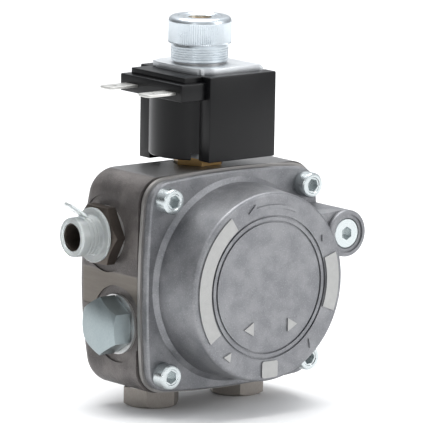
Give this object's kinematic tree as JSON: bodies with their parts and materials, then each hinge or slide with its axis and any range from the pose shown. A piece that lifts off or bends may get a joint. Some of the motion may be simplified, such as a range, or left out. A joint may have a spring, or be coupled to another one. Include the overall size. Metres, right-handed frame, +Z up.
{
  "type": "oil burner fuel pump with solenoid valve",
  "caption": "Compact gear pump for an oil burner, with round strainer cover, side outlet, hexagon plugs and an upright solenoid shut-off valve.",
  "frame": {"origin": "centre of the mounting hub, on the rear mounting face", "axes": "+Y out of the hub along the drive shaft, +Z up to the solenoid, +X to the right as seen from the cover side"},
  "size_m": [0.0959, 0.089, 0.1295],
  "materials": {
    "cast_body": "rough sand casting, oiled, brownish dark grey",
    "gasket_fibre": "dark flat gasket",
    "plain_steel": "plain rolled steel plate with a dull edge",
    "die_cast_cover": "light grey die casting, fine grain",
    "zinc_screw": "zinc plated, satin",
    "ground_steel": "ground and oiled",
    "bush_bronze": "sintered bronze",
    "black_rubber": "nitrile rubber",
    "spring_steel": "spring steel",
    "white_nylon": "moulded nylon",
    "brass_mesh": "fine woven mesh",
    "brass_stem": "turned brass",
    "coil_plastic": "black moulded thermoset, satin",
    "copper_winding": "enamelled copper wire",
    "zinc_sheet": "zinc plated sheet with a bright cut edge",
    "tinned_blade": "tinned brass",
    "zinc_nut": "bright zinc plating, bluish",
    "dark_steel": "oiled dark steel",
    "washer_aluminium": "soft sealing washer",
    "clear_sleeve": "translucent soft plastic",
    "zinc_plug": "zinc plated, satin",
    "grey_plug": "brownish grey plated steel"
  },
  "bodies": {
    "housing": {"pump_body": "cast_body", "gasket": "gasket_fibre", "spacer_plate": "plain_steel", "front_cover": "die_cast_cover", "cover_screws": "zinc_screw", "gear_plate": "ground_steel", "gear_plate_screws": "zinc_screw", "shaft_bush": "bush_bronze", "shaft_seal": "black_rubber", "retaining_ring": "spring_steel", "strainer_frame": "white_nylon", "strainer_mesh": "brass_mesh", "regulator_spring": "spring_steel", "valve_stem": "brass_stem", "valve_seat": "brass_stem", "plunger_spring": "spring_steel", "stem_seal": "black_rubber", "coil_housing": "coil_plastic", "coil_winding": "copper_winding", "coil_yoke": "zinc_sheet", "terminal_blades": "tinned_blade", "outlet_fitting": "dark_steel", "outlet_washer": "washer_aluminium", "gauge_plug": "zinc_plug", "gauge_washer": "washer_aluminium", "suction_plug": "grey_plug", "suction_washer": "washer_aluminium", "return_plug": "grey_plug", "return_washer": "washer_aluminium"},
    "gear_shaft": {"drive_shaft": "ground_steel", "gear_key": "ground_steel", "inner_gear": "ground_steel"},
    "ring": {"ring_gear": "ground_steel"},
    "valve_plunger": {"plunger": "ground_steel", "plunger_pad": "black_rubber"},
    "regulator_seat": {"spring_seat": "ground_steel"},
    "regulator_screw": {"adjuster_screw": "zinc_screw", "adjuster_seal": "black_rubber"},
    "relief_piston": {"regulator_piston": "ground_steel"},
    "nut_carrier": {"nut_washer": "spring_steel"},
    "coil_nut": {"knurled_nut": "zinc_nut"},
    "sleeve_cap": {"outlet_cap": "clear_sleeve"}
  },
  "joints": [
    {"name": "shaft_spin", "type": "hinge", "parent": "housing", "child": "gear_shaft", "pos_m": [0, 0, 0], "axis": [0, 1, 0], "continuous": true},
    {"name": "ring_gear_spin", "type": "hinge", "parent": "housing", "child": "ring", "pos_m": [0, -0.03, -0.0012], "axis": [0, 1, 0], "continuous": true},
    {"name": "plunger_lift", "type": "slide", "parent": "housing", "child": "valve_plunger", "axis": [0, 0, 1], "range_m": [0, 0.0008], "stiffness_N_per_m": 600, "springref_m": -0.004, "deforming": ["plunger_spring"]},
    {"name": "regulator_seat_slide", "type": "slide", "parent": "housing", "child": "regulator_seat", "axis": [0, 1, 0], "range_m": [0, 0.002], "deforming": ["regulator_spring"]},
    {"name": "regulator_screw_turn", "type": "hinge", "parent": "regulator_seat", "child": "regulator_screw", "pos_m": [0.034, -0.055, 0.0145], "axis": [0, 1, 0], "range_deg": [0, 720.1]},
    {"name": "piston_slide", "type": "slide", "parent": "housing", "child": "relief_piston", "axis": [0, -1, 0], "range_m": [0, 0.0012], "stiffness_N_per_m": 6000, "springref_m": -0.003},
    {"name": "nut_lift", "type": "slide", "parent": "housing", "child": "nut_carrier", "axis": [0, 0, 1], "range_m": [0, 0.003]},
    {"name": "nut_turn", "type": "hinge", "parent": "nut_carrier", "child": "coil_nut", "pos_m": [0, -0.02, 0.078], "axis": [0, 0, 1], "range_deg": [0, 1080.1]},
    {"name": "cap_pull", "type": "slide", "parent": "housing", "child": "sleeve_cap", "axis": [-1, 0, 0], "range_m": [0, 0.014]}
  ],
  "couplings": [
    {"joint": "ring_gear_spin", "follows": "shaft_spin", "ratio": 0.85714},
    {"joint": "regulator_screw_turn", "follows": "regulator_seat_slide", "rad_per_m": 6283.2},
    {"joint": "nut_turn", "follows": "nut_lift", "rad_per_m": 6283.2}
  ]
}
